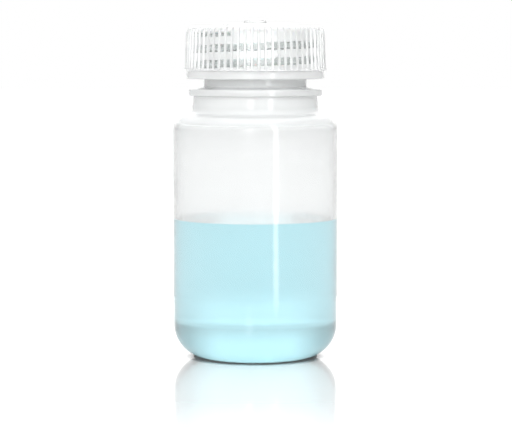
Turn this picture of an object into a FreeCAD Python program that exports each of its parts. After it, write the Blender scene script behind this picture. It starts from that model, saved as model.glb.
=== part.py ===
"""Wide-mouth plastic reagent bottle with a ribbed screw cap, a liner and its liquid.

Millimetres, +Z up. The origin is on the bottle's axis, in the plane it stands on.
The driving sizes are in the sheet "Sizes". Each sub-part is a PartDesign body whose
sketches and features are bound to that sheet.
"""
import FreeCAD, Part
import math
import os
import re
import Sketcher

# ---------------------------------------------------------------- driving sizes
SIZES = {
    # bottle: base and barrel
    "barrel_radius": (25.5, "outer radius of the barrel"),
    "wall": (1.2, "wall of the blow moulding"),
    "base_corner": (10.4, "outer radius of the round between base and barrel"),
    "foot_width": (1.6, "width of the flat ring that the bottle stands on"),
    "base_rise": (1.6, "height of the pushed-up middle of the base"),
    "barrel_top": (71.0, "height where the straight barrel ends"),
    # bottle: shoulder, collar and flange ring
    "shoulder_round": (5.3, "outer radius of the shoulder's round"),
    "shoulder_slope": (15.0, "slope of the shoulder's top, in degrees"),
    "shoulder_flat": (0.5, "length of that slope between the two rounds"),
    "collar_round": (2.0, "hollow round between shoulder and collar"),
    "collar_height": (3.47, "height of the collar up to the flange"),
    "collar_draft": (0.3, "radius that the collar loses up to the flange"),
    "flange_reach": (1.2, "reach of the flange beyond the collar's foot"),
    "flange_thick": (2.15, "thickness of the flange at its edge"),
    "flange_edge": (0.35, "round on the flange's edges"),
    "flange_slope": (0.6, "rise of the flange's top towards the neck"),
    # bottle: neck
    "neck_step": (1.9, "step from the collar's radius in to the thread's root"),
    "groove_depth": (1.74, "depth of the plain groove below the thread"),
    "groove_height": (4.0, "height of that groove"),
    "groove_round": (0.55, "hollow round at the foot of the groove"),
    "groove_ramp": (1.3, "height of the ramp from the groove out to the thread"),
    "neck_wall": (1.56, "wall between the groove and the bore"),
    "throat_rise": (3.2, "height of the cone from the collar's inside to the bore"),
    "thread_zone": (11.1, "height from the ramp to the lip"),
    "lip_outer_round": (0.8, "outer round of the sealing lip"),
    "lip_inner_round": (0.5, "inner round of the sealing lip"),
    # thread, single start, right hand
    "thread_pitch": (4.72, "lead of the thread"),
    "thread_depth": (1.7, "height of a ridge from root to crest"),
    "crest_width": (1.4, "width of the neck's crest"),
    "flank_spread": (0.5, "widening of each flank from crest to root"),
    "thread_lead_in": (1.2, "height of the ridge's start above the ramp"),
    "thread_lead_out": (1.64, "distance of the ridge's end below the lip"),
    "thread_radial_gap": (0.4, "gap between a crest and the root it faces"),
    "thread_flank_gap": (0.12, "gap along the axis on the loaded flank"),
    "cap_crest_width": (1.3, "width of the cap thread's crest"),
    "cap_thread_less": (0.25, "turns by which the cap's thread is shorter"),
    "thread_anchor": (0.3, "depth that a ridge reaches into its wall"),
    # cap
    "cap_gap": (3.1, "gap between the flange's top and the cap's lower edge"),
    "cap_side_wall": (1.2, "wall of the cap's side at the top"),
    "cap_top_wall": (1.2, "wall of the cap's top"),
    "cap_draft": (0.45, "radius that the cap gains down to its foot"),
    "cap_corner": (2.0, "round between the cap's side and rim"),
    "cap_edge": (0.2, "chamfer on the skirt's edges"),
    "skirt_wall": (1.05, "wall of the plain skirt"),
    "skirt_height": (2.5, "height of the plain skirt below the ribs"),
    "bead_reach": (0.65, "reach of the bead under the ribs"),
    "bead_height": (0.45, "height of the bead"),
    "rib_count": (64, "number of grip ribs"),
    "rib_width": (0.7, "width of a rib"),
    "rib_height": (0.5, "height of a rib above the wall"),
    "rib_anchor": (0.4, "depth that a rib reaches into the wall"),
    "plateau_margin": (8.7, "width of the cap's top outside its raised middle"),
    "plateau_rise": (0.9, "height of the raised middle above the rim"),
    "plateau_ramp": (1.3, "width of the ramp round the raised middle"),
    "boss_radius": (3.5, "radius of the small central boss"),
    "boss_rise": (1.25, "height of the boss above the raised middle"),
    "boss_round": (0.6, "round on the boss's edge"),
    # liner
    "liner_thick": (1.0, "thickness of the sealing liner"),
    "liner_overlap": (0.2, "reach of the liner beyond the neck's outside"),
    "liner_gap": (0.3, "gap between the liner and its seat in the cap"),
    # contents
    "fill_height": (43.3, "height of the liquid's surface"),
}
SHEET = "Sizes"
STEP_FOLDER = "parts"

# ------------------------------------------------------- sizes worked out from those
# base
FOOT_OUTER = "(barrel_radius - base_corner)"
FOOT_INNER = f"({FOOT_OUTER} - foot_width)"
DOME_RADIUS = f"(({FOOT_INNER}^2 + base_rise^2) / (2 * base_rise))"
INNER_RADIUS = "(barrel_radius - wall)"
# shoulder: two rounds joined by a short slope that touches both
LEAN = "sin(shoulder_slope * 1 deg)"
LEVEL = "cos(shoulder_slope * 1 deg)"
ROUNDS = "(shoulder_round + collar_round)"
COLLAR_RADIUS = f"(barrel_radius - {ROUNDS} * (1 - {LEAN}) - shoulder_flat * {LEVEL})"
COLLAR_FOOT = f"(barrel_top + {ROUNDS} * {LEVEL} + shoulder_flat * {LEAN})"
# flange and neck, from the collar inwards and upwards
FLANGE_RADIUS = f"({COLLAR_RADIUS} + flange_reach)"
FLANGE_BOTTOM = f"({COLLAR_FOOT} + collar_height)"
FLANGE_TOP = f"({FLANGE_BOTTOM} + flange_thick)"
ROOT_RADIUS = f"({COLLAR_RADIUS} - neck_step)"
GROOVE_RADIUS = f"({ROOT_RADIUS} - groove_depth)"
BORE_RADIUS = f"({GROOVE_RADIUS} - neck_wall)"
GROOVE_FOOT = f"({FLANGE_TOP} + flange_slope)"
GROOVE_TOP = f"({GROOVE_FOOT} + groove_height)"
THREAD_FOOT = f"({GROOVE_TOP} + groove_ramp)"
LIP_TOP = f"({THREAD_FOOT} + thread_zone)"
# thread
CREST_RADIUS = f"({ROOT_RADIUS} + thread_depth)"
CAP_BORE = f"({CREST_RADIUS} + thread_radial_gap)"
CAP_CREST = f"({ROOT_RADIUS} + thread_radial_gap)"
FLANK = "(flank_spread / thread_depth)"
NECK_TURNS = "((thread_zone - thread_lead_in - thread_lead_out) / thread_pitch)"
CAP_TURNS = f"({NECK_TURNS} - cap_thread_less)"
NECK_THREAD_START = f"({THREAD_FOOT} + thread_lead_in)"
# the cap's ridge lies below the neck's: at any radius where both are, their half widths
# add up to the same, so this is the distance along the axis between their middles
RIDGE_OFFSET = (
    "((crest_width + cap_crest_width) / 2"
    f" + {FLANK} * (thread_depth - thread_radial_gap) + thread_flank_gap)"
)
# cap, liner and seat
CAP_CEILING = f"({LIP_TOP} + liner_thick)"
CAP_RIM = f"({CAP_CEILING} + cap_top_wall)"
CAP_BOTTOM = f"({FLANGE_TOP} + cap_gap)"
RIB_FOOT = f"({CAP_BOTTOM} + skirt_height)"
CAP_TOP_RADIUS = f"({CAP_BORE} + cap_side_wall)"
CAP_FOOT_RADIUS = f"({CAP_TOP_RADIUS} + cap_draft)"
SKIRT_BORE = f"({CAP_FOOT_RADIUS} - skirt_wall)"
LINER_RADIUS = f"({ROOT_RADIUS} + liner_overlap)"
SEAT_RADIUS = f"({LINER_RADIUS} + liner_gap)"
PLATEAU = f"({CAP_RIM} + plateau_rise)"
PLATEAU_RADIUS = f"({CAP_TOP_RADIUS} - plateau_margin)"
# a rib's outer edge is an arc from the cap's side to the rim, past the cap's own round
RIB_TOP_WIDTH = "(rib_height + cap_corner)"
RIB_TOP_ROUND = f"(({RIB_TOP_WIDTH}^2 + cap_corner^2) / (2 * {RIB_TOP_WIDTH}))"


def bound(text):
    """The same formula with each size's word pointing at its cell in the sheet."""
    return re.sub(r"[a-z_]+", lambda word: f"{SHEET}.{word[0]}" if word[0] in SIZES else word[0], text)


def line_to(across, up):
    """An outline's next corner, reached by a straight line."""
    return across, up, None, 0


def left_arc_to(across, up, radius):
    """An outline's next corner, reached by an arc that turns left."""
    return across, up, radius, 1


def right_arc_to(across, up, radius):
    """An outline's next corner, reached by an arc that turns right."""
    return across, up, radius, -1


def make_sheet(doc):
    """Put the driving sizes in a sheet, one row each: word, number, meaning."""
    sheet = doc.addObject("Spreadsheet::Sheet", SHEET)
    for row, (word, (value, meaning)) in enumerate(SIZES.items(), start=1):
        sheet.set(f"A{row}", word)
        sheet.set(f"B{row}", str(value))
        sheet.setAlias(f"B{row}", word)
        sheet.set(f"C{row}", meaning)
    doc.recompute()
    return sheet


def new_body(doc, name):
    """A body whose name and label are the sub-part's name."""
    body = doc.addObject("PartDesign::Body", name)
    body.Label = name
    return body


def origin_feature(body, role):
    """The body's own origin plane or axis with this role."""
    return next(item for item in body.Origin.OriginFeatures if item.Role == role)


def arc_centre(start, end, radius, turn):
    """The centre of the arc from start to end that turns left (1) or right (-1)."""
    chord = end - start
    middle = (start + end) * 0.5
    reach = math.sqrt(radius**2 - (chord.Length / 2) ** 2)
    to_left = FreeCAD.Vector(-chord.y, chord.x, 0).normalize()
    return middle + to_left * (reach * turn)


def arc_between(start, end, radius, turn):
    """The arc of that radius from start to end. It runs anticlockwise, as arcs do here."""
    centre = arc_centre(start, end, radius, turn)
    first, last = (start, end) if turn > 0 else (end, start)
    angles = [math.atan2(point.y - centre.y, point.x - centre.x) for point in (first, last)]
    circle = Part.Circle(centre, FreeCAD.Vector(0, 0, 1), radius)
    return Part.ArcOfCircle(circle, angles[0], angles[1])


def draw_outline(body, name, corners):
    """Draw a closed outline in the body's XZ plane and bind it to the sheet.

    Each corner is held by a formula for its distance from the axis and one for its
    height, and each arc by one for its radius. The last corner joins the first.
    """
    sketch = body.newObject("Sketcher::SketchObject", name)
    sketch.AttachmentSupport = [(origin_feature(body, "XZ_Plane"), "")]
    sketch.MapMode = "FlatFace"

    def number(formula):
        return float(sketch.evalExpression(bound(formula)))

    points = [FreeCAD.Vector(number(across), number(up), 0) for across, up, _, _ in corners]
    edge_starts = points[-1:] + points[:-1]
    ends = []
    for (_, _, radius, turn), start, end in zip(corners, edge_starts, points):
        if radius is None:
            edge = sketch.addGeometry(Part.LineSegment(start, end))
        else:
            edge = sketch.addGeometry(arc_between(start, end, number(radius), turn))
            hold(sketch, Sketcher.Constraint("Radius", edge, number(radius)), radius)
        # the two ends of the edge, as the sketch numbers them: 1 its start, 2 its end
        ends.append((edge, 2, 1) if turn < 0 else (edge, 1, 2))
    for here, following in zip(ends, ends[1:] + ends[:1]):
        sketch.addConstraint(Sketcher.Constraint("Coincident", here[0], here[2], following[0], following[1]))
    for (across, up, _, _), point, (edge, _, last) in zip(corners, points, ends):
        hold_corner(sketch, "DistanceX", -2, edge, last, point.x, across)
        hold_corner(sketch, "DistanceY", -1, edge, last, point.y, up)
    return sketch


def hold(sketch, constraint, formula):
    """Add a constraint whose value follows a formula."""
    index = sketch.addConstraint(constraint)
    sketch.setExpression(f"Constraints[{index}]", bound(formula))


def hold_corner(sketch, kind, axis, edge, end, value, formula):
    """Hold one coordinate of an edge's end: on the axis, or at a formula from the origin."""
    if formula == "0":
        sketch.addConstraint(Sketcher.Constraint("PointOnObject", edge, end, axis))
    else:
        hold(sketch, Sketcher.Constraint(kind, -1, 1, edge, end, value), formula)


def revolve(body, sketch, name):
    """Turn an outline once round the upright axis."""
    solid = body.newObject("PartDesign::Revolution", name)
    solid.Profile = sketch
    solid.ReferenceAxis = (sketch, ["V_Axis"])
    solid.Angle = 360.0
    sketch.Visibility = False
    return solid


def add_thread(body, sketch, name, turns):
    """Sweep a ridge's section along the right-hand helix, rising from the sketch."""
    ridge = body.newObject("PartDesign::AdditiveHelix", name)
    ridge.Profile = sketch
    ridge.ReferenceAxis = (sketch, ["V_Axis"])
    ridge.Mode = "pitch-turns-angle"
    ridge.LeftHanded = False
    ridge.setExpression("Pitch", bound("thread_pitch"))
    ridge.setExpression("Turns", bound(turns))
    return ridge


def shoulder_end(depth):
    """Where the shoulder's round meets its slope, this deep below the outer surface."""
    reach = f"(shoulder_round - {depth})"
    return f"barrel_radius - shoulder_round + {reach} * {LEAN}", f"barrel_top + {reach} * {LEVEL}"


def collar_start(depth):
    """Where the slope meets the collar's hollow round, this deep below the surface."""
    reach = f"(collar_round + {depth})"
    return f"{COLLAR_RADIUS} + collar_round - {reach} * {LEAN}", f"{COLLAR_FOOT} - {reach} * {LEVEL}"


def inside_of_base():
    """The corners of the bottle's inside, from the axis out to the foot of the barrel."""
    return [
        line_to("0", "base_rise + wall"),
        right_arc_to(FOOT_INNER, "wall", DOME_RADIUS),
        line_to(FOOT_OUTER, "wall"),
        left_arc_to(INNER_RADIUS, "base_corner", "base_corner - wall"),
    ]


def make_bottle(doc):
    """The blow-moulded bottle: base, barrel, shoulder, collar, flange, neck and thread."""
    body = new_body(doc, "bottle_body")
    outside = [
        line_to("0", "base_rise"),
        right_arc_to(FOOT_INNER, "0", DOME_RADIUS),
        line_to(FOOT_OUTER, "0"),
        left_arc_to("barrel_radius", "base_corner", "base_corner"),
        line_to("barrel_radius", "barrel_top"),
        left_arc_to(*shoulder_end("0"), "shoulder_round"),
        line_to(*collar_start("0")),
        right_arc_to(COLLAR_RADIUS, COLLAR_FOOT, "collar_round"),
        line_to(f"{COLLAR_RADIUS} - collar_draft", FLANGE_BOTTOM),
        line_to(f"{FLANGE_RADIUS} - flange_edge", FLANGE_BOTTOM),
        left_arc_to(FLANGE_RADIUS, f"{FLANGE_BOTTOM} + flange_edge", "flange_edge"),
        line_to(FLANGE_RADIUS, f"{FLANGE_TOP} - flange_edge"),
        left_arc_to(f"{FLANGE_RADIUS} - flange_edge", FLANGE_TOP, "flange_edge"),
        line_to(f"{GROOVE_RADIUS} + groove_round", GROOVE_FOOT),
        right_arc_to(GROOVE_RADIUS, f"{GROOVE_FOOT} + groove_round", "groove_round"),
        line_to(GROOVE_RADIUS, GROOVE_TOP),
        line_to(ROOT_RADIUS, THREAD_FOOT),
        line_to(ROOT_RADIUS, f"{LIP_TOP} - lip_outer_round"),
        left_arc_to(f"{ROOT_RADIUS} - lip_outer_round", LIP_TOP, "lip_outer_round"),
    ]
    collar_inside = f"({COLLAR_RADIUS} - wall)"
    inside = [
        line_to(f"{BORE_RADIUS} + lip_inner_round", LIP_TOP),
        left_arc_to(BORE_RADIUS, f"{LIP_TOP} - lip_inner_round", "lip_inner_round"),
        line_to(BORE_RADIUS, FLANGE_TOP),
        line_to(f"{collar_inside} - collar_draft", f"{FLANGE_TOP} - throat_rise"),
        line_to(collar_inside, COLLAR_FOOT),
        left_arc_to(*collar_start("wall"), "collar_round + wall"),
        line_to(*shoulder_end("wall")),
        right_arc_to(INNER_RADIUS, "barrel_top", "shoulder_round - wall"),
        line_to(INNER_RADIUS, "base_corner"),
        right_arc_to(FOOT_OUTER, "wall", "base_corner - wall"),
        line_to(FOOT_INNER, "wall"),
        left_arc_to("0", "base_rise + wall", DOME_RADIUS),
    ]
    revolve(body, draw_outline(body, "bottle_outline", outside + inside), "bottle_wall")
    # the ridge starts on the -X side, so its section is drawn there
    half_crest = "crest_width / 2"
    half_root = f"({half_crest} + flank_spread + {FLANK} * thread_anchor)"
    section = draw_outline(body, "neck_thread_section", [
        line_to(f"-({ROOT_RADIUS} - thread_anchor)", f"{NECK_THREAD_START} - {half_root}"),
        line_to(f"-({ROOT_RADIUS} - thread_anchor)", f"{NECK_THREAD_START} + {half_root}"),
        line_to(f"-{CREST_RADIUS}", f"{NECK_THREAD_START} + {half_crest}"),
        line_to(f"-{CREST_RADIUS}", f"{NECK_THREAD_START} - {half_crest}"),
    ])
    body.Tip = add_thread(body, section, "neck_thread", NECK_TURNS)
    return body


def make_cap(doc):
    """The screw cap: ribbed side, plain skirt, raised middle, liner seat and thread."""
    body = new_body(doc, "screw_cap")
    outline = draw_outline(body, "cap_outline", [
        line_to("0", f"{PLATEAU} - cap_top_wall"),
        line_to(PLATEAU_RADIUS, f"{PLATEAU} - cap_top_wall"),
        line_to(f"{PLATEAU_RADIUS} + plateau_ramp", CAP_CEILING),
        line_to(SEAT_RADIUS, CAP_CEILING),
        line_to(SEAT_RADIUS, f"{LIP_TOP} + thread_flank_gap"),
        line_to(CAP_BORE, f"{LIP_TOP} - thread_flank_gap"),
        line_to(CAP_BORE, f"{RIB_FOOT} + bead_height"),
        line_to(SKIRT_BORE, RIB_FOOT),
        line_to(SKIRT_BORE, f"{CAP_BOTTOM} + cap_edge"),
        line_to(f"{SKIRT_BORE} + cap_edge", CAP_BOTTOM),
        line_to(f"{CAP_FOOT_RADIUS} - cap_edge", CAP_BOTTOM),
        line_to(CAP_FOOT_RADIUS, f"{CAP_BOTTOM} + cap_edge"),
        line_to(CAP_FOOT_RADIUS, f"{RIB_FOOT} - cap_edge"),
        line_to(f"{CAP_FOOT_RADIUS} + bead_reach", RIB_FOOT),
        line_to(f"{CAP_FOOT_RADIUS} + bead_reach", f"{RIB_FOOT} + bead_height"),
        line_to(CAP_FOOT_RADIUS, f"{RIB_FOOT} + 2 * bead_height"),
        line_to(CAP_TOP_RADIUS, f"{CAP_RIM} - cap_corner"),
        left_arc_to(f"{CAP_TOP_RADIUS} - cap_corner", CAP_RIM, "cap_corner"),
        line_to(f"{PLATEAU_RADIUS} + plateau_ramp", CAP_RIM),
        line_to(PLATEAU_RADIUS, PLATEAU),
        line_to("boss_radius", PLATEAU),
        line_to("boss_radius", f"{PLATEAU} + boss_rise - boss_round"),
        left_arc_to("boss_radius - boss_round", f"{PLATEAU} + boss_rise", "boss_round"),
        line_to("0", f"{PLATEAU} + boss_rise"),
    ])
    revolve(body, outline, "cap_wall")
    # the cap's ridge starts half a turn after the neck's, so it is drawn on the +X side
    height = f"({NECK_THREAD_START} + thread_pitch / 2 - {RIDGE_OFFSET})"
    half_crest = "cap_crest_width / 2"
    half_root = f"({half_crest} + flank_spread + {FLANK} * thread_anchor)"
    section = draw_outline(body, "cap_thread_section", [
        line_to(CAP_CREST, f"{height} - {half_crest}"),
        line_to(f"{CAP_BORE} + thread_anchor", f"{height} - {half_root}"),
        line_to(f"{CAP_BORE} + thread_anchor", f"{height} + {half_root}"),
        line_to(CAP_CREST, f"{height} + {half_crest}"),
    ])
    add_thread(body, section, "cap_thread", CAP_TURNS)
    body.Tip = add_ribs(body)
    return body


def add_ribs(body):
    """The grip ribs: one upright rib that curls over the rim's round, repeated."""
    section = draw_outline(body, "rib_side", [
        line_to(f"{CAP_FOOT_RADIUS} - rib_anchor", RIB_FOOT),
        line_to(f"{CAP_FOOT_RADIUS} + rib_height", RIB_FOOT),
        line_to(f"{CAP_TOP_RADIUS} + rib_height", f"{CAP_RIM} - cap_corner"),
        left_arc_to(f"{CAP_TOP_RADIUS} - cap_corner", CAP_RIM, RIB_TOP_ROUND),
        line_to(f"{CAP_TOP_RADIUS} - cap_corner", f"{CAP_RIM} - rib_anchor"),
        line_to(f"{CAP_TOP_RADIUS} - rib_anchor", f"{CAP_RIM} - cap_corner"),
    ])
    rib = body.newObject("PartDesign::Pad", "first_rib")
    rib.Profile = section
    rib.SideType = "Symmetric"
    rib.setExpression("Length", bound("rib_width"))
    ribs = body.newObject("PartDesign::PolarPattern", "ribs")
    ribs.Originals = [rib]
    ribs.Axis = (origin_feature(body, "Z_Axis"), [""])
    ribs.Angle = 360.0
    ribs.setExpression("Occurrences", bound("rib_count"))
    return ribs


def make_liner(doc):
    """The sealing disc between the bottle's lip and the cap's top."""
    body = new_body(doc, "cap_liner")
    outline = draw_outline(body, "liner_outline", [
        line_to("0", LIP_TOP),
        line_to(LINER_RADIUS, LIP_TOP),
        line_to(LINER_RADIUS, CAP_CEILING),
        line_to("0", CAP_CEILING),
    ])
    revolve(body, outline, "liner_disc")
    return body


def make_liquid(doc):
    """The contents, which fill the bottle's inside up to the fill height."""
    body = new_body(doc, "reagent_liquid")
    outline = draw_outline(body, "liquid_outline", inside_of_base() + [
        line_to(INNER_RADIUS, "fill_height"),
        line_to("0", "fill_height"),
    ])
    revolve(body, outline, "liquid_fill")
    return body


def check(doc, bodies):
    """Stop if any object failed, or if a sub-part isn't one valid solid."""
    for item in doc.Objects:
        if "Invalid" in item.State or "Error" in item.State:
            raise RuntimeError(f"{item.Label} failed: {item.State}")
    for body in bodies:
        shape = body.Shape
        if shape.isNull() or not shape.isValid() or len(shape.Solids) != 1:
            raise RuntimeError(f"{body.Label} isn't one valid solid")
        print(f"{body.Label}: {shape.Volume:.1f} mm3, box {shape.BoundBox}")


def main():
    """Build the document, check it and write each sub-part's STEP file."""
    doc = FreeCAD.newDocument("reagent_bottle")
    make_sheet(doc)
    bodies = [make_bottle(doc), make_cap(doc), make_liner(doc), make_liquid(doc)]
    doc.recompute()
    check(doc, bodies)
    os.makedirs(STEP_FOLDER, exist_ok=True)
    for body in bodies:
        body.Shape.exportStep(os.path.join(STEP_FOLDER, f"{body.Label}.step"))


main()
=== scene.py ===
"""Wide-mouth reagent bottle: moulded bottle, ribbed screw cap, liner and pale blue liquid.

Every length in this file is in millimetres until a mesh is made, which is in metres.
Heights are above the plane that the bottle stands on, and radii are from its axis.
"""
import logging
import math
from dataclasses import dataclass, field
from enum import Enum

import bpy
import numpy as np
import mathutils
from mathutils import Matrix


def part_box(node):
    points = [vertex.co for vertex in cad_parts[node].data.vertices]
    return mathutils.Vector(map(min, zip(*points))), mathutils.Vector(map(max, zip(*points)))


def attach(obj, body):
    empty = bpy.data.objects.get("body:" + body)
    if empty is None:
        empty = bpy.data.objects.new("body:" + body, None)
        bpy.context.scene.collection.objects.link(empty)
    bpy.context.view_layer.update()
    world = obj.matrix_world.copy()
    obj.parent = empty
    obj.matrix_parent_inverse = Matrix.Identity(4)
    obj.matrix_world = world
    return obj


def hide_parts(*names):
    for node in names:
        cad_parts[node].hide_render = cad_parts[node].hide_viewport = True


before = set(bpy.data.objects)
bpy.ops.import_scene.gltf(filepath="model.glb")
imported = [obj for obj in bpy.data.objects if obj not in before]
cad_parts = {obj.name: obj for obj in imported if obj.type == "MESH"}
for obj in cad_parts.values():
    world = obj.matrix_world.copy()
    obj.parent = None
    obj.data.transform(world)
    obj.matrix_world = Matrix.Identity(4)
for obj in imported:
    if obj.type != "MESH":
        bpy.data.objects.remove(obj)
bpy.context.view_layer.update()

MM = 0.001
TURN = 2 * math.pi
SHARP = math.radians(40.0)
TINY = 1e-6

Vector = tuple[float, float, float]
Colour = tuple[float, float, float, float]
Stops = tuple[tuple[float, float], ...]

logging.basicConfig(level=logging.INFO, format="%(message)s")
log = logging.getLogger("reagent_bottle")


# ------------------------------------------------------------------ surfaces
@dataclass
class Outline:
    """An outline in radius and height, drawn on from its last point.

    It runs with the material on its left: out along the underside, up the outside,
    and back down the inside.
    """

    radii: list[float] = field(default_factory=list)
    heights: list[float] = field(default_factory=list)

    def start(self, radius: float, height: float) -> "Outline":
        """Set the first point.

        Args:
            radius: the point's radius.
            height: the point's height.

        Returns:
            This outline.
        """
        self.radii = [radius]
        self.heights = [height]
        return self

    def line(self, radius: float, height: float, steps: int = 1) -> "Outline":
        """Draw a straight line in equal steps.

        Args:
            radius: radius of the line's end.
            height: height of the line's end.
            steps: number of equal steps.

        Returns:
            This outline.
        """
        share = np.arange(1, steps + 1) / steps
        self.radii += list(self.radii[-1] + share * (radius - self.radii[-1]))
        self.heights += list(self.heights[-1] + share * (height - self.heights[-1]))
        return self

    def arc(self, radius: float, height: float, bend: float, steps: int = 8) -> "Outline":
        """Draw an arc of radius |bend| that turns left, or right where bend is negative.

        The centre lies on the chord's middle line, sqrt(bend^2 - (chord / 2)^2) away.

        Args:
            radius: radius of the arc's end.
            height: height of the arc's end.
            bend: the arc's own radius, negative for an arc that turns right.
            steps: number of equal steps.

        Returns:
            This outline.
        """
        start = complex(self.radii[-1], self.heights[-1])
        end = complex(radius, height)
        chord = end - start
        reach = math.sqrt(max(bend**2 - (abs(chord) / 2) ** 2, 0.0))
        side = math.copysign(1.0, bend)
        centre = (start + end) / 2 + 1j * chord / abs(chord) * reach * side
        sweep = 2 * math.asin(min(abs(chord) / 2 / abs(bend), 1.0)) * side
        share = np.arange(1, steps + 1) / steps
        points = centre + (start - centre) * np.exp(1j * sweep * share)
        self.radii += list(points.real)
        self.heights += list(points.imag)
        return self

    def points(self) -> tuple[np.ndarray, np.ndarray]:
        """The radii and heights as arrays."""
        return np.array(self.radii), np.array(self.heights)

    def normals(self) -> tuple[np.ndarray, np.ndarray]:
        """The outline's outward normal at each point: its tangent turned right.

        Returns:
            The normals' parts across and up.
        """
        radii, heights = self.points()
        across = np.gradient(radii)
        up = np.gradient(heights)
        length = np.hypot(across, up)
        return up / length, -across / length


def smooth_step(value: np.ndarray) -> np.ndarray:
    """A soft step from 0 to 1: 3v^2 - 2v^3 of the value held between 0 and 1."""
    held = np.clip(value, 0.0, 1.0)
    return held * held * (3.0 - 2.0 * held)


def closed_mesh(name: str, points: np.ndarray, rings: int, columns: int) -> bpy.types.Object:
    """Make a closed surface from rings of points between two poles.

    Args:
        name: name of the mesh and object.
        points: the first pole, the rings in order, the last pole, in millimetres.
        rings: number of rings between the poles.
        columns: points in each ring.

    Returns:
        The object, at the origin, with its place in its mesh.
    """
    here = np.arange(columns)
    after = (here + 1) % columns
    first = 1 + columns * np.arange(rings - 1)[:, None]
    next_first = first + columns
    quads = np.stack([first + here, first + after, next_first + after, next_first + here], axis=-1)
    last_ring = 1 + columns * (rings - 1)
    last_pole = 1 + columns * rings
    bottom = np.stack([np.zeros_like(here), 1 + after, 1 + here], axis=-1)
    top = np.stack([np.full_like(here, last_pole), last_ring + here, last_ring + after], axis=-1)
    corners = np.concatenate([bottom.ravel(), quads.ravel(), top.ravel()])
    fan = np.full(columns, 3)
    sizes = np.concatenate([fan, np.full(quads.shape[0] * columns, 4), fan])
    mesh = bpy.data.meshes.new(name)
    mesh.vertices.add(len(points))
    mesh.vertices.foreach_set("co", (points * MM).ravel())
    mesh.loops.add(len(corners))
    mesh.loops.foreach_set("vertex_index", corners)
    mesh.polygons.add(len(sizes))
    mesh.polygons.foreach_set("loop_start", np.concatenate([[0], np.cumsum(sizes)[:-1]]))
    mesh.polygons.foreach_set("loop_total", sizes)
    mesh.polygons.foreach_set("use_smooth", np.ones(len(sizes), dtype=bool))
    mesh.update(calc_edges=True)
    mesh.validate()
    mesh.set_sharp_from_angle(angle=SHARP)
    made = bpy.data.objects.new(name, mesh)
    bpy.context.scene.collection.objects.link(made)
    return made


def even_angles(columns: int) -> np.ndarray:
    """The angles of columns spaced evenly round the axis."""
    return np.arange(columns) * TURN / columns


def turned(
    name: str, outline: Outline, angles: np.ndarray, relief: np.ndarray | None = None
) -> bpy.types.Object:
    """Turn an outline round the axis, with a relief that stands along its normal.

    A point is (r cos a, r sin a, z), where r and z are the outline's own plus the relief
    times the outline's normal. The outline starts and ends on the axis.

    Args:
        name: name of the piece.
        outline: the outline, from axis to axis.
        angles: the columns' angles, in radians, anticlockwise from +X.
        relief: height of the relief for each outline point and angle, or None.

    Returns:
        The piece's object.
    """
    radii, heights = outline.points()
    across, up = outline.normals()
    lift = np.zeros((len(radii), len(angles))) if relief is None else relief
    ring = slice(1, -1)
    reach = radii[ring, None] + lift[ring] * across[ring, None]
    level = heights[ring, None] + lift[ring] * up[ring, None]
    rings = np.stack([reach * np.cos(angles), reach * np.sin(angles), level], axis=-1)
    poles = np.array([[0.0, 0.0, heights[0]], [0.0, 0.0, heights[-1]]])
    points = np.concatenate([poles[:1], rings.reshape(-1, 3), poles[1:]])
    return closed_mesh(name, points, len(radii) - 2, len(angles))


@dataclass(frozen=True)
class Thread:
    """A right-hand ridge with one start, measured from its root.

    Its middle rises by the pitch in each turn. Its section is a trapezoid with softened
    edges, and it sinks into the wall over a run-out at each end.
    """

    pitch: float
    depth: float
    crest: float
    spread: float
    first_height: float
    first_angle: float
    turns: float
    run_out: float = 0.11
    softness: float = 0.35

    def relief(self, angles: np.ndarray, heights: np.ndarray) -> np.ndarray:
        """Height of the ridge over its root.

        For each turn the middle's height is first_height + pitch * turns gone, and the
        ridge is depth * trapezoid(distance from the middle) * run-out(turns gone).

        Args:
            angles: columns' angles, in radians.
            heights: rows' heights.

        Returns:
            The ridge's height for each row and column.
        """
        from_start = np.mod(angles - self.first_angle, TURN) / TURN
        ridge = np.zeros((len(heights), len(angles)))
        for lap in range(math.ceil(self.turns) + 1):
            gone = from_start + lap
            middle = self.first_height + self.pitch * gone
            off = np.abs(heights[:, None] - middle[None, :])
            flank = np.clip((self.crest / 2 + self.spread - off) / self.spread, 0.0, 1.0)
            ends = smooth_step(gone / self.run_out)
            ends *= smooth_step((self.turns - gone) / self.run_out)
            section = self.softness * smooth_step(flank) + (1.0 - self.softness) * flank
            ridge = np.maximum(ridge, self.depth * section * ends)
        return ridge

    def covers(self, angles: np.ndarray, heights: np.ndarray, extra: float = 0.0) -> np.ndarray:
        """Whether the ridge lies at each of a list of places.

        It does where the place's height is within half the ridge's foot of its middle,
        first_height + pitch * turns gone, on some lap that the ridge reaches.

        Args:
            angles: the places' angles, in radians.
            heights: the places' heights.
            extra: turns that are added at the upper end.

        Returns:
            True or False for each place.
        """
        from_start = np.mod(angles - self.first_angle, TURN) / TURN
        foot = self.crest / 2 + self.spread
        found = np.zeros(len(angles), dtype=bool)
        for lap in range(math.ceil(self.turns) + 1):
            gone = from_start + lap
            near = np.abs(heights - self.first_height - self.pitch * gone) < foot
            found |= near & (gone > self.run_out / 2) & (gone < self.turns + extra)
        return found


# ------------------------------------------------------------------ finishes
def grey(tone: float, tint: float = 1.0) -> Colour:
    """A grey colour, cooler where its green and blue's tint is above 1."""
    return (tone, tone * tint, tone * tint, 1.0)


class Grain(Enum):
    """How a moulded surface is textured: cell size and bump depth in millimetres."""

    POLISHED = (12.0, 0.0006)
    SATIN = (3.0, 0.001)
    FOAM = (0.25, 0.05)


class Blend(Enum):
    """The kinds of Mix node: its type, and the numbers of its two inputs and its result."""

    VALUE = ("FLOAT", 2, 3, 0)
    COLOUR = ("RGBA", 6, 7, 2)


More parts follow.
